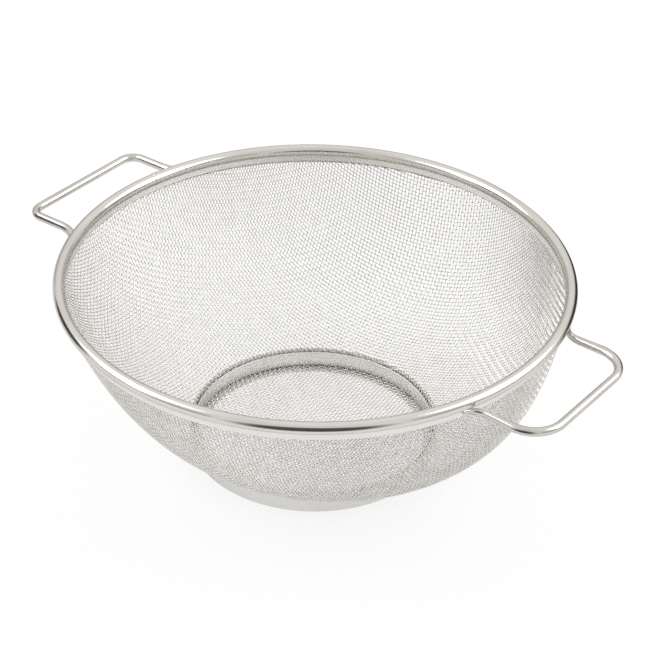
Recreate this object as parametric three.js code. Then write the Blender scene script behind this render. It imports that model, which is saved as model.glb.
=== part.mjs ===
// Wire mesh colander, in millimetres, +Z up, standing on the floor plane z = 0 with its axis on Z.
// A pressed bowl of woven wire cloth is clamped in a beaded rim band, carries two welded wire
// handles on the X axis and stands on a sheet foot ring, with a strip inside to back the welds.
import * as THREE from 'three';

// Rim band, rolled from sheet around a core wire, with one flange on each side of the cloth
const RIM_DIAMETER = 240;
const RIM_TOP_HEIGHT = 94;
const BEAD_DIAMETER = 5.6;
const BAND_SHEET = 0.5;
const INNER_FLANGE_DROP = 2.4;
const OUTER_FLANGE_DROP = 3.6;
const WALL_TOP_ANGLE = 75;

// Woven wire cloth of the bowl, as thick as two crossing wires
const CLOTH_THICKNESS = 0.8;
const BOTTOM_CORNER_RADIUS = 1.2;
const LIP_FOLD_RADIUS = 2.5;
const WALL_START_ANGLE = 27;
const WALL_START_PULL = 30;
const WALL_TOP_PULL = 53;

// The pressed cloth bellies out further on one side than on the other
const BELLY_OFFSET = 5.4;
const BELLY_AZIMUTH = 42;

// Foot ring, a sheet hoop with a flared lip above and a flange turned in below
const FOOT_DIAMETER = 118;
const FOOT_HEIGHT = 10.8;
const FOOT_SHEET = 0.6;
const FOOT_FLANGE_WIDTH = 6;
const FOOT_LIP_TURN = 60;
const FOOT_CORNER_RADIUS = 0.9;

// Backing strip, a plain hoop inside the cloth that is spot welded through it to the foot ring
const STRIP_SHEET = 0.5;

// Handles, each bent from one round wire; the right one is bent wider at its corners. The bars hang a
// little lower than the toes, and both handles sit slightly off the X axis.
const HANDLE_WIRE_DIAMETER = 4;
const HANDLE_REACH = 26.6;
const HANDLE_LEG_SPACING = 72.4;
const HANDLE_DROOP = 0.7;
const RIGHT_CORNER_RADIUS = 15;
const LEFT_CORNER_RADIUS = 7;
const RIGHT_HANDLE_AZIMUTH = 0.8;
const LEFT_HANDLE_AZIMUTH = 179.8;
const HANDLE_TOE_LENGTH = 6;
const HANDLE_TOE_RADIUS = 7.5;

// Gap left at every seat between two pieces
const SEAT_GAP = 0.3;

// Facets
const RING_SEGMENTS = 60;
const BEAD_STEPS = 8;
const BEND_STEPS = 3;
const WALL_STEPS = 9;
const CORE_SIDES = 8;
const HANDLE_SIDES = 8;
const HANDLE_STEPS = 48;

const beadRadius = BEAD_DIAMETER / 2;
const coreRadius = beadRadius - BAND_SHEET - SEAT_GAP;
const clothHalf = CLOTH_THICKNESS / 2;
const slotHalf = clothHalf + SEAT_GAP;
const wireRadius = HANDLE_WIRE_DIAMETER / 2;
const beadCentre = new THREE.Vector2(RIM_DIAMETER / 2 - beadRadius, RIM_TOP_HEIGHT - beadRadius);

function radians(degrees) {
  return THREE.MathUtils.degToRad(degrees);
}

function heading(degrees) {
  return new THREE.Vector2(Math.cos(radians(degrees)), Math.sin(radians(degrees)));
}

// Points of a section are (radius, height). The rim section is laid out down the bowl wall from
// the bead centre: drop runs down the wall and side runs outwards, square to it.
const wallUp = heading(WALL_TOP_ANGLE);
const wallOut = heading(WALL_TOP_ANGLE - 90);

function rimPoint(drop, side) {
  return beadCentre.clone().addScaledVector(wallUp, -drop).addScaledVector(wallOut, side);
}

function arc(centre, radius, fromDegrees, toDegrees, steps) {
  const points = [];
  for (let i = 0; i <= steps; i += 1) {
    const angle = fromDegrees + (toDegrees - fromDegrees) * i / steps;
    points.push(centre.clone().addScaledVector(heading(angle), radius));
  }
  return points;
}

function steel(color, roughness) {
  return new THREE.MeshStandardMaterial({ color, roughness, metalness: 1 });
}

function turned(section) {
  return new THREE.LatheGeometry(section, RING_SEGMENTS).rotateX(Math.PI / 2);
}

function namedMesh(name, geometry, material) {
  const mesh = new THREE.Mesh(geometry, material);
  mesh.name = name;
  return mesh;
}

// Rim band: the sheet runs up the inner flange, over the bead and down the outer flange

function beadArc(radius, flangeSide, sign) {
  const half = THREE.MathUtils.radToDeg(Math.PI - Math.asin(flangeSide / radius));
  return arc(beadCentre, radius, WALL_TOP_ANGLE + sign * half, WALL_TOP_ANGLE - sign * half, BEAD_STEPS);
}

function rimBand() {
  const faceSide = slotHalf + BAND_SHEET;
  const innerEnd = beadRadius + INNER_FLANGE_DROP;
  const outerEnd = beadRadius + OUTER_FLANGE_DROP;
  const section = [
    rimPoint(innerEnd, -faceSide),
    ...beadArc(beadRadius, faceSide, 1),
    rimPoint(outerEnd, faceSide),
    rimPoint(outerEnd, slotHalf),
    ...beadArc(beadRadius - BAND_SHEET, slotHalf, -1),
    rimPoint(innerEnd, -slotHalf),
  ];
  section.push(section[0].clone());
  return turned(section.reverse());
}

// Core wire: a closed ring of round wire inside the bead

function coreWire() {
  return turned(arc(beadCentre, coreRadius, 0, 360, CORE_SIDES));
}

// Foot ring and bowl share the centres of the two bends that the cloth makes in the ring

const footRadius = FOOT_DIAMETER / 2;
const clothInset = FOOT_SHEET + SEAT_GAP + clothHalf;
const clothFootRadius = footRadius - clothInset;
const lipCentre = new THREE.Vector2(
  clothFootRadius + LIP_FOLD_RADIUS,
  FOOT_HEIGHT - LIP_FOLD_RADIUS + clothHalf + SEAT_GAP,
);
const cornerReach = BOTTOM_CORNER_RADIUS + clothInset;
const cornerCentre = new THREE.Vector2(footRadius - cornerReach, cornerReach);

function footRing() {
  const lipInside = LIP_FOLD_RADIUS - clothHalf - SEAT_GAP;
  const flangeEnd = footRadius - FOOT_FLANGE_WIDTH;
  const lipEnd = 180 - FOOT_LIP_TURN;
  const edgeCentre = new THREE.Vector2(footRadius - FOOT_CORNER_RADIUS, FOOT_CORNER_RADIUS);
  const section = [
    new THREE.Vector2(flangeEnd, 0),
    ...arc(edgeCentre, FOOT_CORNER_RADIUS, -90, 0, BEND_STEPS),
    ...arc(lipCentre, lipInside - FOOT_SHEET, 180, lipEnd, BEND_STEPS),
    ...arc(lipCentre, lipInside, lipEnd, 180, BEND_STEPS),
    ...arc(edgeCentre, FOOT_CORNER_RADIUS - FOOT_SHEET, 0, -90, BEND_STEPS),
    new THREE.Vector2(flangeEnd, FOOT_SHEET),
  ];
  section.push(section[0].clone());
  return turned(section);
}

// Backing strip: covers the upright part of the cloth, between its bottom corner and the lip fold

function backingStrip() {
  const outside = clothFootRadius - clothHalf - SEAT_GAP;
  const inside = outside - STRIP_SHEET;
  const low = cornerCentre.y + SEAT_GAP;
  const section = [
    new THREE.Vector2(inside, low),
    new THREE.Vector2(outside, low),
    new THREE.Vector2(outside, lipCentre.y),
    new THREE.Vector2(inside, lipCentre.y),
  ];
  section.push(section[0].clone());
  return turned(section);
}

// Bowl: flat bottom, up inside the foot ring, out over its lip, then one curved wall to the bead.
// Each station holds a point of the cloth's middle, its outward normal and its share of the wall.

function station(point, direction, share) {
  return { point, out: new THREE.Vector2(direction.y, -direction.x), share };
}

function bendStations(centre, radius, fromDegrees, toDegrees) {
  const turn = Math.sign(toDegrees - fromDegrees);
  return arc(centre, radius, fromDegrees, toDegrees, BEND_STEPS).map((point, i) => {
    const angle = fromDegrees + (toDegrees - fromDegrees) * i / BEND_STEPS;
    return station(point, heading(angle + 90 * turn), 0);
  });
}

function bowlStations() {
  const foldEnd = 90 + WALL_START_ANGLE;
  const start = lipCentre.clone().addScaledVector(heading(foldEnd), LIP_FOLD_RADIUS);
  const end = rimPoint(beadRadius + Math.max(INNER_FLANGE_DROP, OUTER_FLANGE_DROP), 0);
  const wall = new THREE.CubicBezierCurve(
    start,
    start.clone().addScaledVector(heading(WALL_START_ANGLE), WALL_START_PULL),
    end.clone().addScaledVector(wallUp, -WALL_TOP_PULL),
    end,
  );
  const stations = [
    ...bendStations(cornerCentre, BOTTOM_CORNER_RADIUS, -90, 0),
    ...bendStations(lipCentre, LIP_FOLD_RADIUS, 180, foldEnd),
  ];
  for (let i = 1; i <= WALL_STEPS; i += 1) {
    const share = i / WALL_STEPS;
    stations.push(station(wall.getPoint(share), wall.getTangent(share), share));
  }
  stations.push(station(rimPoint(coreRadius + SEAT_GAP, 0), wallUp, 1));
  return stations;
}

function skinPoint({ point, out }, side) {
  return point.clone().addScaledVector(out, side);
}

function meshBowl() {
  const stations = bowlStations();
  const bottom = station(new THREE.Vector2(0, stations[0].point.y), heading(0), 0);
  const run = [bottom, ...stations];
  const ordered = [...run, ...run.slice().reverse()];
  const section = ordered.map((spot, i) => skinPoint(spot, i < run.length ? clothHalf : -clothHalf));
  const geometry = turned(section);
  const position = geometry.attributes.position;
  for (let i = 0; i < position.count; i += 1) {
    const { out, share } = ordered[i % ordered.length];
    const azimuth = Math.atan2(position.getY(i), position.getX(i));
    const shift = BELLY_OFFSET * Math.sin(Math.PI * share) * Math.cos(azimuth - radians(BELLY_AZIMUTH));
    const radius = Math.hypot(position.getX(i), position.getY(i)) + shift * out.x;
    const height = position.getZ(i) + shift * out.y;
    position.setXYZ(i, radius * Math.cos(azimuth), radius * Math.sin(azimuth), height);
  }
  return geometry;
}

// Handle wire: a bar, two legs, and toes that turn outwards along the band under the bead

function bentWire(corners, radii) {
  const path = new THREE.CurvePath();
  let from = corners[0];
  for (let i = 1; i < corners.length - 1; i += 1) {
    const back = corners[i - 1].clone().sub(corners[i]).normalize();
    const ahead = corners[i + 1].clone().sub(corners[i]).normalize();
    const trim = radii[i] / Math.tan(back.angleTo(ahead) / 2);
    const bendStart = corners[i].clone().addScaledVector(back, trim);
    const bendEnd = corners[i].clone().addScaledVector(ahead, trim);
    path.add(new THREE.LineCurve3(from, bendStart));
    path.add(new THREE.QuadraticBezierCurve3(bendStart, corners[i], bendEnd));
    from = bendEnd;
  }
  path.add(new THREE.LineCurve3(from, corners[corners.length - 1]));
  return path;
}

function handleWire(cornerRadius) {
  const toeSide = slotHalf + BAND_SHEET + SEAT_GAP + wireRadius;
  const clear = beadRadius + wireRadius + SEAT_GAP;
  const seat = rimPoint(Math.sqrt(clear * clear - toeSide * toeSide), toeSide);
  const toeAzimuth = Math.asin(HANDLE_LEG_SPACING / 2 / seat.x) + HANDLE_TOE_LENGTH / 2 / seat.x;
  const touch = new THREE.Vector2(Math.cos(toeAzimuth), Math.sin(toeAzimuth)).multiplyScalar(seat.x);
  const along = new THREE.Vector2(-Math.sin(toeAzimuth), Math.cos(toeAzimuth));
  const toeEnd = touch.clone().addScaledVector(along, HANDLE_TOE_LENGTH / 2);
  const legBase = touch.clone().addScaledVector(along, -HANDLE_TOE_LENGTH / 2);
  const barX = RIM_DIAMETER / 2 + HANDLE_REACH;
  const side = (sign) => [
    new THREE.Vector3(toeEnd.x, sign * toeEnd.y, seat.y),
    new THREE.Vector3(legBase.x, sign * legBase.y, seat.y),
    new THREE.Vector3(barX, sign * legBase.y, seat.y - HANDLE_DROOP),
  ];
  const corners = [...side(-1), ...side(1).reverse()];
  const radii = [0, HANDLE_TOE_RADIUS, cornerRadius, cornerRadius, HANDLE_TOE_RADIUS, 0];
  const section = new THREE.Shape(arc(new THREE.Vector2(), wireRadius, 0, 360, HANDLE_SIDES).slice(0, -1));
  return new THREE.ExtrudeGeometry(section, { steps: HANDLE_STEPS, extrudePath: bentWire(corners, radii) });
}

const colander = new THREE.Group();
colander.add(namedMesh('mesh_bowl', meshBowl(), steel(0xc9c7c2, 0.4)));
colander.add(namedMesh('rim_band', rimBand(), steel(0xd3cdc6, 0.2)));
colander.add(namedMesh('rim_core_wire', coreWire(), steel(0xb4b0aa, 0.45)));
colander.add(namedMesh('foot_ring', footRing(), steel(0xcfccc6, 0.28)));
colander.add(namedMesh('backing_strip', backingStrip(), steel(0xcfccc6, 0.32)));

const HANDLES = [
  { name: 'handle_right', cornerRadius: RIGHT_CORNER_RADIUS, azimuth: RIGHT_HANDLE_AZIMUTH },
  { name: 'handle_left', cornerRadius: LEFT_CORNER_RADIUS, azimuth: LEFT_HANDLE_AZIMUTH },
];
for (const { name, cornerRadius, azimuth } of HANDLES) {
  const handle = namedMesh(name, handleWire(cornerRadius), steel(0xd0cbc4, 0.22));
  handle.rotation.z = radians(azimuth);
  colander.add(handle);
}

export default colander;
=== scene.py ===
import math

import bmesh
import bpy
import numpy as np
from mathutils import Matrix, Quaternion, Vector
from mathutils.geometry import interpolate_bezier


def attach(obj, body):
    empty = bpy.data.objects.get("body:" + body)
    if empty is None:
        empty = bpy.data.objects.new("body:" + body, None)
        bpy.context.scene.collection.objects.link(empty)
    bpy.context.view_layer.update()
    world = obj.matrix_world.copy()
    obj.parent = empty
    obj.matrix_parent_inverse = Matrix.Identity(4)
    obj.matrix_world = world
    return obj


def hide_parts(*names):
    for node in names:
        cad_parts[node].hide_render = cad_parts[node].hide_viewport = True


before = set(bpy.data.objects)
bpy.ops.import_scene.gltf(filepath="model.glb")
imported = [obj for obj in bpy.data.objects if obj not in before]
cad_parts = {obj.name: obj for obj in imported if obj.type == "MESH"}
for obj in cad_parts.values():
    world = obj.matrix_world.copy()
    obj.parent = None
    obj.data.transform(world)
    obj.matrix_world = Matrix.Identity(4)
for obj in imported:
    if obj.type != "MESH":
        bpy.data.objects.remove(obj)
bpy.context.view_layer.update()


# Foot ring. A hoop of thin stainless sheet, rolled with a lip that flares out under the fold of the
# bowl and a flange turned in below, on which the colander stands. It is satin outside and left matt
# inside, with its inner faces painted lighter as painted light against the shade inside the ring, and spot
# welds hold it to the cloth.
FOOT_RADIUS = 0.059
FOOT_HEIGHT = 0.0108
FOOT_SHEET = 0.0006
FOOT_FLANGE = 0.006
FOOT_LIP_TURN = 60
FOOT_CORNER = 0.0009
FOOT_COLOURS = ((0.64, 0.63, 0.61), (0.73, 0.72, 0.70))
# Painted light: a lighter tone painted on the ring's inner faces to stand for light inside the enclosed
# ring.
FOOT_INSIDE_PAINTED_LIGHT = (0.93, 0.92, 0.90, 1)
FOOT_INSIDE_ROUGH = 0.8
FOOT_INSIDE_BLEND = 0.2
CLOTH_HALF = 0.0004
SEAT_GAP = 0.0003
CORNER_RADIUS = 0.0012
FOLD_RADIUS = 0.0025
SPIN_STEPS = 360
SHEET_MERGE_GAP = 1e-7
SHEET_SHARP_ANGLE = math.radians(38)
EDGE_TINT = (0.72, 0.71, 0.69, 1)
TONE_STOPS = (0.3, 0.7)
CLOUD_DETAIL, RIPPLE_DETAIL = 4.0, 2.0
RIPPLE_FINENESS, RIPPLE_DEPTH = 4, 0.0002


def heading(degrees):
    return np.array((math.cos(math.radians(degrees)), math.sin(math.radians(degrees))))


def arc(centre, radius, start, stop, steps=12):
    return [centre + radius * heading(angle) for angle in np.linspace(start, stop, steps + 1)]


def new_piece(name, mesh, material):
    piece = bpy.data.objects.new(name, mesh)
    bpy.context.scene.collection.objects.link(piece)
    mesh.materials.append(material)
    return piece


def spun_mesh(name, section, sweep=2 * math.pi, steps=SPIN_STEPS):
    """A closed section of radius and height spun round the axis, all the way or as a capped length."""
    bm = bmesh.new()
    loop = [bm.verts.new((radius, 0, height)) for radius, height in section]
    for pair in zip(loop, loop[1:] + loop[:1]):
        bm.edges.new(pair)
    bmesh.ops.remove_doubles(bm, verts=loop, dist=SHEET_MERGE_GAP)
    full = sweep == 2 * math.pi
    bmesh.ops.spin(bm, geom=bm.verts[:] + bm.edges[:], cent=(0, 0, 0), axis=(0, 0, 1), angle=sweep,
                   steps=steps, use_merge=full)
    if not full:
        bmesh.ops.holes_fill(bm, edges=[edge for edge in bm.edges if edge.is_boundary])
    bmesh.ops.recalc_face_normals(bm, faces=bm.faces)
    mesh = bpy.data.meshes.new(name)
    bm.to_mesh(mesh)
    bm.free()
    mesh.shade_smooth()
    mesh.set_sharp_from_angle(angle=SHEET_SHARP_ANGLE)
    return mesh


def steel(name, colours, roughness, grain_scale, ripple):
    """Bare stainless: a cloudy tone, a mottled polish and a faint ripple left by rolling or drawing."""
    material = bpy.data.materials.new(name)
    material.use_nodes = True
    nodes, links = material.node_tree.nodes, material.node_tree.links
    shader = nodes["Principled BSDF"]
    shader.inputs["Metallic"].default_value = 1.0
    shader.inputs["Specular Tint"].default_value = EDGE_TINT
    place = nodes.new("ShaderNodeTexCoord")
    cloud = nodes.new("ShaderNodeTexNoise")
    cloud.inputs["Scale"].default_value = grain_scale
    cloud.inputs["Detail"].default_value = CLOUD_DETAIL
    tone = nodes.new("ShaderNodeValToRGB")
    for stop, position, colour in zip(tone.color_ramp.elements, TONE_STOPS, colours):
        stop.position = position
        stop.color = (*colour, 1)
    polish = nodes.new("ShaderNodeMapRange")
    polish.inputs["To Min"].default_value, polish.inputs["To Max"].default_value = roughness
    waves = nodes.new("ShaderNodeTexNoise")
    waves.inputs["Scale"].default_value = grain_scale * RIPPLE_FINENESS
    waves.inputs["Detail"].default_value = RIPPLE_DETAIL
    bump = nodes.new("ShaderNodeBump")
    bump.inputs["Strength"].default_value = ripple
    bump.inputs["Distance"].default_value = RIPPLE_DEPTH
    links.new(place.outputs["Object"], cloud.inputs["Vector"])
    links.new(place.outputs["Object"], waves.inputs["Vector"])
    links.new(cloud.outputs["Fac"], tone.inputs["Fac"])
    links.new(tone.outputs["Color"], shader.inputs["Base Color"])
    links.new(cloud.outputs["Fac"], polish.inputs["Value"])
    links.new(polish.outputs["Result"], shader.inputs["Roughness"])
    links.new(waves.outputs["Fac"], bump.inputs["Height"])
    links.new(bump.outputs["Normal"], shader.inputs["Normal"])
    return material


def paint_light_and_polish(material, share, colour, roughness):
    """Blend the base colour towards another tone, here a painted light, and the roughness towards another
    polish where the share output is high.
    """
    nodes, links = material.node_tree.nodes, material.node_tree.links
    shader = nodes["Principled BSDF"]
    for socket, kind, value in (("Base Color", "RGBA", colour), ("Roughness", "FLOAT", roughness)):
        blend = nodes.new("ShaderNodeMix")
        blend.data_type = kind
        ends = [end for end in blend.inputs if end.enabled and end.name in ("A", "B")]
        ends[1].default_value = value
        links.new(shader.inputs[socket].links[0].from_socket, ends[0])
        links.new(share, [end for end in blend.inputs if end.enabled and end.name == "Factor"][0])
        links.new([end for end in blend.outputs if end.enabled][0], shader.inputs[socket])


cloth_inset = FOOT_SHEET + SEAT_GAP + CLOTH_HALF
corner_reach = CORNER_RADIUS + cloth_inset
corner_centre = np.array((FOOT_RADIUS - corner_reach, corner_reach))
fold_centre = np.array((FOOT_RADIUS - cloth_inset + FOLD_RADIUS,
                        FOOT_HEIGHT - FOLD_RADIUS + CLOTH_HALF + SEAT_GAP))
edge_centre = np.array((FOOT_RADIUS - FOOT_CORNER, FOOT_CORNER))
lip_inside = FOLD_RADIUS - CLOTH_HALF - SEAT_GAP
lip_end = 180 - FOOT_LIP_TURN
flange_end = FOOT_RADIUS - FOOT_FLANGE
foot_section = [
    np.array((flange_end, 0)),
    *arc(edge_centre, FOOT_CORNER, -90, 0),
    *arc(fold_centre, lip_inside - FOOT_SHEET, 180, lip_end),
    *arc(fold_centre, lip_inside, lip_end, 180),
    *arc(edge_centre, FOOT_CORNER - FOOT_SHEET, 0, -90),
    np.array((flange_end, FOOT_SHEET)),
]
foot_steel_and_painted_light = steel("satin_sheet_and_painted_light", FOOT_COLOURS, roughness=(0.28, 0.38), grain_scale=40, ripple=0.06)
foot_nodes, foot_links = foot_steel_and_painted_light.node_tree.nodes, foot_steel_and_painted_light.node_tree.links
spoke = foot_nodes.new("ShaderNodeVectorMath")
spoke.operation = "MULTIPLY"
spoke.inputs[1].default_value = (1, 1, 0)
spoke_unit = foot_nodes.new("ShaderNodeVectorMath")
spoke_unit.operation = "NORMALIZE"
outside = foot_nodes.new("ShaderNodeVectorMath")
outside.operation = "SUBTRACT"
outside.inputs[1].default_value = (0, 0, 1)
facing = foot_nodes.new("ShaderNodeVectorMath")
facing.operation = "DOT_PRODUCT"
inside = foot_nodes.new("ShaderNodeMapRange")
inside.inputs["From Min"].default_value = FOOT_INSIDE_BLEND
inside.inputs["From Max"].default_value = -FOOT_INSIDE_BLEND
foot_links.new(foot_nodes["Texture Coordinate"].outputs["Object"], spoke.inputs[0])
foot_links.new(spoke.outputs["Vector"], spoke_unit.inputs[0])
foot_links.new(spoke_unit.outputs["Vector"], outside.inputs[0])
foot_links.new(outside.outputs["Vector"], facing.inputs[0])
foot_links.new(foot_nodes.new("ShaderNodeNewGeometry").outputs["True Normal"], facing.inputs[1])
foot_links.new(facing.outputs["Value"], inside.inputs["Value"])
# Painted light: the inner faces are blended to a lighter painted tone, along with their real matt
# roughness.
paint_light_and_polish(foot_steel_and_painted_light, inside.outputs["Result"], FOOT_INSIDE_PAINTED_LIGHT, FOOT_INSIDE_ROUGH)
foot_ring = new_piece("foot_hoop", spun_mesh("foot_hoop", foot_section), foot_steel_and_painted_light)
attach(foot_ring, "root")
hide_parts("foot_ring")


# Backing strip. A plain hoop of the same sheet inside the bowl, sprung against the upright part of the
# cloth and spot welded through it to the foot ring, so that the welds don't burn single wires.
STRIP_SHEET = 0.0005
STRIP_EDGE, STRIP_EDGE_STEPS = 0.00012, 4
STRIP_BELOW, STRIP_ABOVE = 0.0002, 0.0006
STRIP_COLOURS = ((0.84, 0.83, 0.81), (0.91, 0.90, 0.88))

strip_outside = FOOT_RADIUS - cloth_inset - CLOTH_HALF - SEAT_GAP
strip_inside = strip_outside - STRIP_SHEET
strip_low, strip_high = corner_centre[1] - STRIP_BELOW, fold_centre[1] + STRIP_ABOVE
strip_section = []
for radius, height, start in ((strip_outside - STRIP_EDGE, strip_low + STRIP_EDGE, -90),
                              (strip_outside - STRIP_EDGE, strip_high - STRIP_EDGE, 0),
                              (strip_inside + STRIP_EDGE, strip_high - STRIP_EDGE, 90),
                              (strip_inside + STRIP_EDGE, strip_low + STRIP_EDGE, 180)):
    strip_section += arc(np.array((radius, height)), STRIP_EDGE, start, start + 90, STRIP_EDGE_STEPS)
strip_finish = steel("satin_strip", STRIP_COLOURS, roughness=(0.3, 0.4), grain_scale=50, ripple=0.06)
backing_strip = new_piece("backing_hoop", spun_mesh("backing_hoop", strip_section), strip_finish)
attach(backing_strip, "root")
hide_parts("backing_strip")


# Bowl. One disc of plain woven stainless wire cloth, pressed to shape: flat below, up inside the foot
# ring, out over its lip and up to the rim. Pressing shears the square mesh into diamonds on the
# bias. Each wire is modelled, over one crossing and under the next, and the cloth is clamped above.
WIRE_DIAMETER = 0.00045
WIRE_PITCH = 0.00181
WEAVE_AZIMUTH = math.radians(9)
CRIMP_FLAT = 0.2
BALL_RADIUS = 0.116
WALL_START_ANGLE, WALL_START_PULL = 27, 0.030
WALL_TOP_ANGLE, WALL_TOP_PULL = 75, 0.053
BELLY_OFFSET, BELLY_AZIMUTH = 0.0054, math.radians(42)
RIM_RADIUS = 0.120
RIM_TOP = 0.094
BEAD_RADIUS = 0.0028
BAND_SHEET = 0.0005
OUTER_FLANGE_DROP = 0.0036
WIRE_COLOURS = ((0.68, 0.67, 0.65), (0.80, 0.79, 0.77))
WIRE_GROUPS = 4
WIRE_ROUNDNESS = 1
WALL_POINTS = 120
FEWEST_CROSSINGS = 3
MAP_MARGIN = 0.1

bead_centre = np.array((RIM_RADIUS - BEAD_RADIUS, RIM_TOP - BEAD_RADIUS))
wall_up = heading(WALL_TOP_ANGLE)
wall_out = heading(WALL_TOP_ANGLE - 90)
core_radius = BEAD_RADIUS - BAND_SHEET - SEAT_GAP


def rim_point(drop, side):
    return bead_centre - drop * wall_up + side * wall_out


def bowl_run():
    """Middle line of the cloth from the centre to the rim: arc length, point and share of the wall."""
    fold_end = 90 + WALL_START_ANGLE
    start = fold_centre + FOLD_RADIUS * heading(fold_end)
    end = rim_point(BEAD_RADIUS + OUTER_FLANGE_DROP, 0)
    pull = start + WALL_START_PULL * heading(WALL_START_ANGLE)
    hang = end - WALL_TOP_PULL * wall_up
    bends = [*arc(corner_centre, CORNER_RADIUS, -90, 0), *arc(fold_centre, FOLD_RADIUS, 180, fold_end)]
    share = np.linspace(0, 1, WALL_POINTS)[1:, None]
    wall = ((1 - share) ** 3 * start + 3 * (1 - share) ** 2 * share * pull
            + 3 * (1 - share) * share ** 2 * hang + share ** 3 * end)
    points = np.vstack([(0, bends[0][1]), *bends, wall, rim_point(core_radius + SEAT_GAP, 0)])
    shares = np.concatenate([np.zeros(len(bends) + 1), share[:, 0], [1]])
    lengths = np.concatenate([[0], np.cumsum(np.linalg.norm(np.diff(points, axis=0), axis=1))])
    return lengths, points, shares


run_length, run_points, run_share = bowl_run()
run_slope = np.gradient(run_points, run_length, axis=0)
run_slope /= np.linalg.norm(run_slope, axis=1)[:, None]


def on_bowl(length, azimuth):
    """Places on the cloth's middle surface, with their outward normals."""
    radius, height, share, rise_r, rise_z = (
        np.interp(length, run_length, column)
        for column in (*run_points.T, run_share, *run_slope.T))
    swell = BELLY_OFFSET * np.sin(np.pi * share) * np.cos(azimuth - BELLY_AZIMUTH)
    spoke = np.stack([np.cos(azimuth), np.sin(azimuth)], axis=-1)
    place = np.concatenate([(radius + swell * rise_z)[..., None] * spoke,
                            (height - swell * rise_r)[..., None]], axis=-1)
    normal = np.concatenate([rise_z[..., None] * spoke, -rise_r[..., None]], axis=-1)
    return place, normal


def draped_net(count):
    """One quarter of a net with equal sides drawn over a ball: each knot mirrors the last across the
    plane of its two neighbours and the ball's centre, so that all four sides stay one pitch long."""
    reach = np.arange(count + 1) * WIRE_PITCH / BALL_RADIUS
    net = np.zeros((count + 1, count + 1, 3))
    net[:, 0] = np.stack([np.sin(reach), 0 * reach, np.cos(reach)], axis=-1)
    net[0, :] = np.stack([0 * reach, np.sin(reach), np.cos(reach)], axis=-1)
    for i in range(1, count + 1):
        for j in range(1, count + 1):
            plane = np.cross(net[i - 1, j], net[i, j - 1])
            plane /= np.linalg.norm(plane)
            knot = net[i - 1, j - 1]
            net[i, j] = knot - 2 * knot.dot(plane) * plane
    return net


def crimped_wire(places, normals, lift):
    """A wire through its crossings, lifted and lowered in turn, with a short flat at each crossing."""
    lifted = places + normals * lift[:, None]
    ahead = np.diff(places, axis=0, append=places[-1:])
    behind = np.diff(places, axis=0, prepend=places[:1])
    return np.stack([lifted - CRIMP_FLAT * behind, lifted + CRIMP_FLAT * ahead], axis=1).reshape(-1, 3)


def drawn_wires(name, paths, radius, roundness):
    """Round wires with closed ends along the given paths, as one mesh."""
    curve = bpy.data.curves.new(name, "CURVE")
    curve.dimensions = "3D"
    curve.bevel_depth = radius
    curve.bevel_resolution = roundness
    curve.use_fill_caps = True
    for path in paths:
        spline = curve.splines.new("POLY")
        spline.points.add(len(path) - 1)
        spline.points.foreach_set("co", np.column_stack([path, np.ones(len(path))]).ravel())
        spline.use_smooth = True
    drawn = bpy.data.objects.new(name + "_path", curve)
    mesh = bpy.data.meshes.new_from_object(drawn)
    bpy.data.objects.remove(drawn)
    bpy.data.curves.remove(curve)
    mesh.name = name
    return mesh


def wire_mesh(name, wires):
    """Cloth wires, each with its own strip of the OFBake map."""
    mesh = drawn_wires(name, wires, WIRE_DIAMETER / 2, WIRE_ROUNDNESS)
    mesh.uv_layers[0].name = "OFBake"
    corners = np.array([len(wire) for wire in wires])
    strips = np.repeat(np.arange(len(wires)), corners * (len(mesh.loops) // corners.sum()))
    spread = np.empty((len(mesh.loops), 2))
    spread_flat = spread.ravel()
    mesh.uv_layers[0].data.foreach_get("uv", spread_flat)
    spread[:, 1] = (strips + MAP_MARGIN + (1 - 2 * MAP_MARGIN) * spread[:, 1]) / len(wires)
    mesh.uv_layers[0].data.foreach_set("uv", spread_flat)
    return mesh


knots = int(run_length[-1] / WIRE_PITCH)
quarter = draped_net(knots)
index = np.arange(-knots, knots + 1)
net = quarter[np.abs(index)[:, None], np.abs(index)[None, :]].copy()
net[..., 0] *= np.sign(index)[:, None]
net[..., 1] *= np.sign(index)[None, :]
net_length = BALL_RADIUS * np.arccos(np.clip(net[..., 2], -1, 1))
net_azimuth = np.arctan2(net[..., 1], net[..., 0]) + WEAVE_AZIMUTH
places, normals = on_bowl(net_length, net_azimuth)
parity = 1 - 2 * ((index[:, None] + index[None, :]) % 2)
lift = parity * WIRE_DIAMETER / 2
on_disc = net_length < run_length[-1]
wire_finish = steel("bright_wire", WIRE_COLOURS, roughness=(0.28, 0.4), grain_scale=220, ripple=0.0)
for family, turn in (("warp", False), ("weft", True)):
    spots, outs, kept = (grid.swapaxes(0, 1) if turn else grid for grid in (places, normals, on_disc))
    lifts = -lift.T if turn else lift
    wires = []
    for row in range(len(index)):
        held = np.flatnonzero(kept[row])
        if len(held) >= FEWEST_CROSSINGS:
            span = slice(held[0], held[-1] + 1)
            wires.append(crimped_wire(spots[row, span], outs[row, span], lifts[row, span]))
    for group in range(WIRE_GROUPS):
        first, last = (len(wires) * edge // WIRE_GROUPS for edge in (group, group + 1))
        name = f"{family}_wires_{group + 1}"
        cloth = new_piece(name, wire_mesh(name, wires[first:last]), wire_finish)
        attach(cloth, "root")
        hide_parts("mesh_bowl")


# Core wire. A closed ring of round drawn wire that stiffens the rim; the band is rolled over it, so
# it stays hidden. The built solid is right as it is and only gets its finish.
CORE_COLOURS = ((0.34, 0.33, 0.32), (0.48, 0.47, 0.45))

core_finish = steel("drawn_wire", CORE_COLOURS, roughness=(0.4, 0.55), grain_scale=90, ripple=0.1)
core_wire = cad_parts["rim_core_wire"]
core_wire.data.materials.clear()
core_wire.data.materials.append(core_finish)
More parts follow.
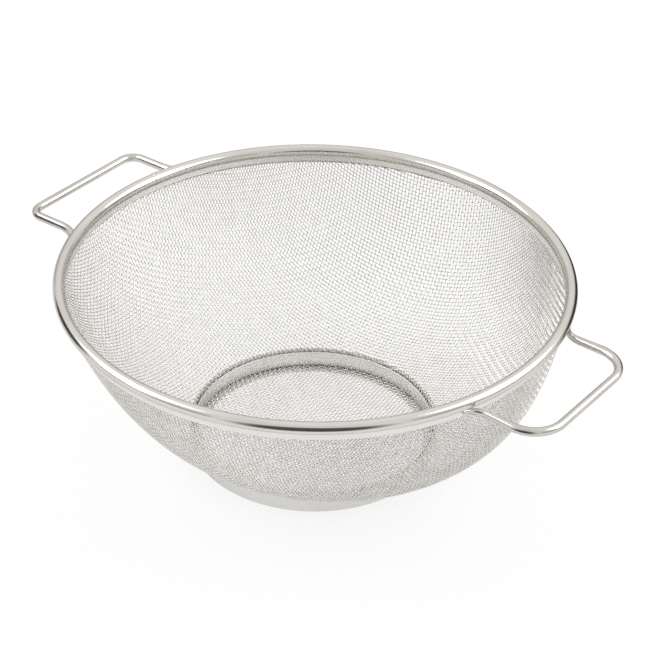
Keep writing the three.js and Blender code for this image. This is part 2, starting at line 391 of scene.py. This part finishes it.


# Rim band. Stainless strip rolled into a round bead over the core wire, with a flange down each side of
# the cloth that is crimped and spot welded through it. The bead is polished and the flanges are satin,
# with a lighter tone that is a painted reflection of bright surroundings, and the strip's two ends overlap
# in a short lap.
INNER_FLANGE_DROP = 0.0024
CREASE_RADIUS = 0.0007
LAP_LIFT = 0.00015
LAP_AZIMUTH, LAP_SWEEP, LAP_STEPS = math.radians(168.6), math.radians(2.2), 6
CREASE_STEPS, BEAD_STEPS, BEAD_INSIDE_STEPS = 6, 40, 24
BAND_COLOURS = ((0.62, 0.605, 0.58), (0.70, 0.685, 0.66))
# Painted reflection: the flanges' lighter tone stands for the bright surroundings they mirror.
FLANGE_PAINTED_LIGHT = (0.82, 0.805, 0.78, 1)
FLANGE_ROUGH = 0.45
FLANGE_BLEND = 0.0006

slot_half = CLOTH_HALF + SEAT_GAP
face_side = slot_half + BAND_SHEET
crease_drop = math.sqrt((BEAD_RADIUS + CREASE_RADIUS) ** 2 - (face_side + CREASE_RADIUS) ** 2)
crease_turn = math.degrees(math.atan2(face_side + CREASE_RADIUS, crease_drop))


def band_face(lift=0.0):
    """Outer face of the rolled strip, or a line lifted off it: up the inner flange, over the bead and
    down the outer flange."""
    down = WALL_TOP_ANGLE + 180
    radius = CREASE_RADIUS - lift
    inner = rim_point(crease_drop, -face_side - CREASE_RADIUS)
    outer = rim_point(crease_drop, face_side + CREASE_RADIUS)
    return [
        rim_point(BEAD_RADIUS + INNER_FLANGE_DROP, -face_side - lift),
        *arc(inner, radius, WALL_TOP_ANGLE - 90, WALL_TOP_ANGLE - crease_turn, CREASE_STEPS),
        *arc(bead_centre, BEAD_RADIUS + lift, down - crease_turn, down - 360 + crease_turn, BEAD_STEPS),
        *arc(outer, radius, WALL_TOP_ANGLE + crease_turn, WALL_TOP_ANGLE + 90, CREASE_STEPS),
        rim_point(BEAD_RADIUS + OUTER_FLANGE_DROP, face_side + lift),
    ]


bead_inside = BEAD_RADIUS - BAND_SHEET
slot_turn = math.degrees(math.asin(slot_half / bead_inside))
band_section = [
    *band_face(),
    rim_point(BEAD_RADIUS + OUTER_FLANGE_DROP, slot_half),
    *arc(bead_centre, bead_inside, WALL_TOP_ANGLE - 180 + slot_turn, WALL_TOP_ANGLE + 180 - slot_turn,
         BEAD_INSIDE_STEPS),
    rim_point(BEAD_RADIUS + INNER_FLANGE_DROP, -slot_half),
]
band_steel_and_painted_light = steel("polished_strip_and_painted_light", BAND_COLOURS, roughness=(0.12, 0.2), grain_scale=30, ripple=0.05)
band_nodes, band_links = band_steel_and_painted_light.node_tree.nodes, band_steel_and_painted_light.node_tree.links
level = band_nodes.new("ShaderNodeSeparateXYZ")
below_bead = band_nodes.new("ShaderNodeMapRange")
below_bead.inputs["From Min"].default_value = bead_centre[1] - BEAD_RADIUS + FLANGE_BLEND
below_bead.inputs["From Max"].default_value = bead_centre[1] - BEAD_RADIUS
band_links.new(band_nodes["Texture Coordinate"].outputs["Object"], level.inputs["Vector"])
band_links.new(level.outputs["Z"], below_bead.inputs["Value"])
# Painted reflection: below the bead the flanges are blended to a lighter painted tone, along with their
# real satin roughness.
paint_light_and_polish(band_steel_and_painted_light, below_bead.outputs["Result"], FLANGE_PAINTED_LIGHT, FLANGE_ROUGH)
band_mesh = spun_mesh("rolled_band", band_section)
lap_mesh = spun_mesh("band_lap", band_face(LAP_LIFT) + band_face()[::-1], LAP_SWEEP, LAP_STEPS)
lap_mesh.transform(Matrix.Rotation(LAP_AZIMUTH, 4, "Z"))
for name, mesh in (("rolled_band", band_mesh), ("band_lap", lap_mesh)):
    band = new_piece(name, mesh, band_steel_and_painted_light)
    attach(band, "root")
    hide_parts("rim_band")


# Handles. Round stainless wire bent into a bar and two legs; each end turns outwards along the band
# as a toe, pressed flat and welded on the outer flange under the bead.
HANDLE_WIRE_RADIUS = 0.002
HANDLE_REACH = 0.0266
HANDLE_DROOP = 0.0007
LEG_SPACING = 0.0724
RIGHT_CORNER, LEFT_CORNER = 0.015, 0.007
RIGHT_TOE_BEND, LEFT_TOE_BEND = 0.0085, 0.017
RIGHT_AZIMUTH, LEFT_AZIMUTH = math.radians(0.8), math.radians(179.8)
TOE_STRAIGHT = 0.001
TOE_FLAT_LENGTH = 0.010
TOE_NEAR = 1.2 * TOE_FLAT_LENGTH
TOE_FLAT, TOE_NARROW = 0.4, 0.55
TOE_RISE = 0.0012
BEND_POINTS = 14
HANDLE_ROUNDNESS = 8
HANDLE_MERGE_GAP = 1e-6
HANDLE_SHARP_ANGLE = math.radians(50)
HANDLE_COLOURS = ((0.54, 0.525, 0.50), (0.64, 0.625, 0.60))

toe_side = face_side + SEAT_GAP + HANDLE_WIRE_RADIUS
bead_clear = BEAD_RADIUS + HANDLE_WIRE_RADIUS + SEAT_GAP
toe_radius, toe_height = rim_point(math.sqrt(bead_clear ** 2 - toe_side ** 2), toe_side)
leg_azimuth = math.asin(LEG_SPACING / 2 / toe_radius)


def rounded(corners, radii):
    """Points along a bent wire whose corners are turned to the given radii."""
    points = [corners[0]]
    for back, corner, ahead, radius in zip(corners, corners[1:], corners[2:], radii):
        to_back, to_ahead = (back - corner).normalized(), (ahead - corner).normalized()
        inside_angle = to_back.angle(to_ahead)
        trim = radius / math.tan(inside_angle / 2)
        grip = 4 / 3 * math.tan((math.pi - inside_angle) / 4) * radius
        start, stop = corner + to_back * trim, corner + to_ahead * trim
        points += interpolate_bezier(start, start - to_back * grip, stop - to_ahead * grip, stop,
                                     BEND_POINTS)
    return points + [corners[-1]]


def toe_frame(sign, length):
    """Middle of a toe, its direction along the band and the band's outward direction there."""
    azimuth = sign * (leg_azimuth + length / 2 / toe_radius)
    spoke = Vector((math.cos(azimuth), math.sin(azimuth), 0))
    along = Vector((-math.sin(azimuth), math.cos(azimuth), 0)) * sign
    middle = spoke * toe_radius + Vector((0, 0, toe_height))
    outward = spoke * wall_out[0] + Vector((0, 0, wall_out[1]))
    return middle, along, outward


def handle_mesh(name, turn, corner, toe_bend):
    """One bent wire, with both toes pressed flat against the band and narrowed towards their tips."""
    toe_length = toe_bend * math.tan((math.pi / 2 - leg_azimuth) / 2) + TOE_STRAIGHT
    sides = []
    for sign in (-1, 1):
        middle, along, outward = toe_frame(sign, toe_length)
        leg_base = middle - along * toe_length / 2
        bar_end = Vector((RIM_RADIUS + HANDLE_REACH, leg_base.y, toe_height - HANDLE_DROOP))
        sides.append([middle + along * toe_length / 2, leg_base, bar_end])
    corners = sides[0] + sides[1][::-1]
    path = rounded(corners, (toe_bend, corner, corner, toe_bend))
    mesh = drawn_wires(name, [path], HANDLE_WIRE_RADIUS, HANDLE_ROUNDNESS)
    bm = bmesh.new()
    bm.from_mesh(mesh)
    bmesh.ops.remove_doubles(bm, verts=bm.verts, dist=HANDLE_MERGE_GAP)
    for sign in (-1, 1):
        middle, along, outward = toe_frame(sign, toe_length)
        tip = middle + along * toe_length / 2
        upward = outward.cross(along) * sign
        for vert in bm.verts:
            offset = vert.co - tip
            back = -offset.dot(along)
            if back < TOE_FLAT_LENGTH and offset.length < TOE_NEAR:
                ease = max(back / TOE_FLAT_LENGTH, 0)
                flat = TOE_FLAT + (1 - TOE_FLAT) * ease * ease
                stand = offset.dot(outward) + HANDLE_WIRE_RADIUS
                narrow = TOE_NARROW + (1 - TOE_NARROW) * ease * ease
                rise = offset.dot(upward) * (narrow - 1) + TOE_RISE * (1 - ease) ** 2
                vert.co += outward * (stand * (flat - 1) - SEAT_GAP * (1 - ease)) + upward * rise
    bmesh.ops.rotate(bm, verts=bm.verts, cent=(0, 0, 0), matrix=Matrix.Rotation(turn, 3, "Z"))
    bmesh.ops.recalc_face_normals(bm, faces=bm.faces)
    bm.to_mesh(mesh)
    bm.free()
    mesh.shade_smooth()
    mesh.set_sharp_from_angle(angle=HANDLE_SHARP_ANGLE)
    return mesh


handle_finish = steel("polished_wire", HANDLE_COLOURS, roughness=(0.16, 0.26), grain_scale=60, ripple=0.06)
for node, turn, corner, toe_bend in (("handle_right", RIGHT_AZIMUTH, RIGHT_CORNER, RIGHT_TOE_BEND),
                                     ("handle_left", LEFT_AZIMUTH, LEFT_CORNER, LEFT_TOE_BEND)):
    name = node.replace("handle", "grip")
    grip = new_piece(name, handle_mesh(name, turn, corner, toe_bend), handle_finish)
    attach(grip, "root")
    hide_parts(node)


# Studio. A white table that glows evenly, a pale dome that is dimmer low down and in front, and two
# soft boxes. Three dark cards around the table show only as reflections in the steel. The camera looks
# down from the front with a long lens.
FLOOR_SIZE = 6.0
FLOOR_COLOUR = (0.12, 0.12, 0.12, 1)
FLOOR_ROUGH = 0.9
FLOOR_GLOW = 0.82
SKY_STOPS = ((0.05, (0.45, 0.44, 0.42, 1)), (0.5, (0.95, 0.93, 0.9, 1)))
SKY_LEVELS = (1.08, 0.88)
FRONT_FALL = (-0.1, 0.6)
BOX_ELEVATION = math.radians(38)
BOX_DISTANCE, BOX_SIZE, BOX_POWER = 1.2, 0.9, 7.5
CARD_RADIUS, CARD_STEPS = 0.28, 24
CARD_COLOUR = (0.02, 0.02, 0.02, 1)
CARD_ROUGH = 0.9
CARD_GLOW = (0.95, 0.93, 0.9, 1)
CARD_FADE = (0.5, 1.0)
CAMERA_AZIMUTH = math.radians(37.1)
CAMERA_ELEVATION = math.radians(34.03)
CAMERA_DISTANCE = 8.732 * RIM_RADIUS
CAMERA_ROLL = math.radians(1.12)
CAMERA_LENS, CAMERA_SENSOR = 122.6, 36
LOOK_RIGHT, LOOK_UP = 0.059 * RIM_RADIUS, 0.512 * RIM_RADIUS

scene = bpy.context.scene
scene.view_settings.view_transform = "Standard"
scene.cycles.use_denoising = False

bm = bmesh.new()
bmesh.ops.create_grid(bm, x_segments=8, y_segments=8, size=FLOOR_SIZE / 2)
floor_mesh = bpy.data.meshes.new("floor")
bm.to_mesh(floor_mesh)
bm.free()
floor_paint = bpy.data.materials.new("white_table")
floor_paint.use_nodes = True
floor_shader = floor_paint.node_tree.nodes["Principled BSDF"]
floor_shader.inputs["Base Color"].default_value = FLOOR_COLOUR
floor_shader.inputs["Roughness"].default_value = FLOOR_ROUGH
floor_shader.inputs["Emission Color"].default_value = (1, 1, 1, 1)
floor_shader.inputs["Emission Strength"].default_value = FLOOR_GLOW
floor = new_piece("floor", floor_mesh, floor_paint)

world = bpy.data.worlds.new("pale_dome")
scene.world = world
world.use_nodes = True
sky_nodes, sky_links = world.node_tree.nodes, world.node_tree.links
sky = sky_nodes["Background"]
direction = sky_nodes.new("ShaderNodeTexCoord")
split = sky_nodes.new("ShaderNodeSeparateXYZ")
shade = sky_nodes.new("ShaderNodeValToRGB")
for stop, (position, colour) in zip(shade.color_ramp.elements, SKY_STOPS):
    stop.position = position
    stop.color = colour
sky_links.new(direction.outputs["Generated"], split.inputs["Vector"])
sky_links.new(split.outputs["Z"], shade.inputs["Fac"])
toward = sky_nodes.new("ShaderNodeVectorMath")
toward.operation = "DOT_PRODUCT"
toward.inputs[1].default_value = (math.sin(CAMERA_AZIMUTH), -math.cos(CAMERA_AZIMUTH), 0)
fall = sky_nodes.new("ShaderNodeMapRange")
fall.inputs["From Min"].default_value, fall.inputs["From Max"].default_value = FRONT_FALL
fall.inputs["To Min"].default_value, fall.inputs["To Max"].default_value = SKY_LEVELS
sky_links.new(direction.outputs["Generated"], toward.inputs[0])
sky_links.new(toward.outputs["Value"], fall.inputs["Value"])
sky_links.new(shade.outputs["Color"], sky.inputs["Color"])
sky_links.new(fall.outputs["Result"], sky.inputs["Strength"])

for name, azimuth in (("left_box", CAMERA_AZIMUTH + math.pi), ("right_box", CAMERA_AZIMUTH)):
    lamp = bpy.data.lights.new(name, "AREA")
    lamp.shape = "SQUARE"
    lamp.size = BOX_SIZE
    lamp.energy = BOX_POWER
    box = bpy.data.objects.new(name, lamp)
    level_reach, rise = math.cos(BOX_ELEVATION), math.sin(BOX_ELEVATION)
    towards = Vector((level_reach * math.cos(azimuth), level_reach * math.sin(azimuth), rise))
    box.location = towards * BOX_DISTANCE
    box.rotation_euler = towards.to_track_quat("Z", "Y").to_euler()
    scene.collection.objects.link(box)


def card_paint(name, middle, height, half_width, half_height, grey):
    """Black card that fades to the brightness around it, sideways and towards its top and bottom."""
    paint = bpy.data.materials.new(name)
    paint.use_nodes = True
    nodes, links = paint.node_tree.nodes, paint.node_tree.links
    shader = nodes["Principled BSDF"]
    shader.inputs["Base Color"].default_value = CARD_COLOUR
    shader.inputs["Roughness"].default_value = CARD_ROUGH
    shader.inputs["Emission Color"].default_value = CARD_GLOW
    place = nodes.new("ShaderNodeTexCoord")
    spot = nodes.new("ShaderNodeMapping")
    spot.vector_type = "TEXTURE"
    spot.inputs["Location"].default_value = (*(CARD_RADIUS * heading(middle)), height)
    spot.inputs["Scale"].default_value = (half_width, half_width, half_height)
    reach = nodes.new("ShaderNodeVectorMath")
    reach.operation = "LENGTH"
    fade = nodes.new("ShaderNodeMapRange")
    fade.interpolation_type = "SMOOTHSTEP"
    fade.inputs["From Min"].default_value, fade.inputs["From Max"].default_value = CARD_FADE
    fade.inputs["To Min"].default_value = grey
    links.new(place.outputs["Object"], spot.inputs["Vector"])
    links.new(spot.outputs["Vector"], reach.inputs[0])
    links.new(reach.outputs["Value"], fade.inputs["Value"])
    links.new(fade.outputs["Result"], shader.inputs["Emission Strength"])
    return paint


for name, middle, sweep, height, half_height, grey in (("front_card", -90, 64, 0.1, 0.17, 0.04),
                                                       ("left_card", 171, 40, 0.11, 0.09, 0),
                                                       ("right_card", 30, 64, 0.07, 0.11, 0)):
    middle += math.degrees(CAMERA_AZIMUTH)
    bm = bmesh.new()
    ends = (max(height - half_height, 0), height + half_height)
    upright = [bm.verts.new((CARD_RADIUS, 0, end)) for end in ends]
    edge = bm.edges.new(upright)
    to_start = Matrix.Rotation(math.radians(middle - sweep / 2), 3, "Z")
    bmesh.ops.rotate(bm, verts=upright, cent=(0, 0, 0), matrix=to_start)
    bmesh.ops.spin(bm, geom=[*upright, edge], cent=(0, 0, 0), axis=(0, 0, 1), angle=math.radians(sweep),
                   steps=CARD_STEPS)
    card_mesh = bpy.data.meshes.new(name)
    bm.to_mesh(card_mesh)
    bm.free()
    half_width = 2 * CARD_RADIUS * math.sin(math.radians(sweep / 4))
    card = new_piece(name, card_mesh, card_paint(name, middle, height, half_width, half_height, grey))
    card.visible_camera = card.visible_diffuse = card.visible_shadow = False

lens = bpy.data.cameras.new("camera")
lens.lens = CAMERA_LENS
lens.sensor_width = CAMERA_SENSOR
camera = bpy.data.objects.new("camera", lens)
scene.collection.objects.link(camera)
around = Matrix.Rotation(CAMERA_AZIMUTH, 3, "Z")
back = Vector((0, -math.cos(CAMERA_ELEVATION), math.sin(CAMERA_ELEVATION)))
look = around @ Vector((LOOK_RIGHT, 0, LOOK_UP))
camera.location = look + around @ back * CAMERA_DISTANCE
camera.rotation_mode = "QUATERNION"
camera.rotation_quaternion = ((around @ back).to_track_quat("Z", "Y")
                              @ Quaternion((0, 0, 1), CAMERA_ROLL))
scene.camera = camera
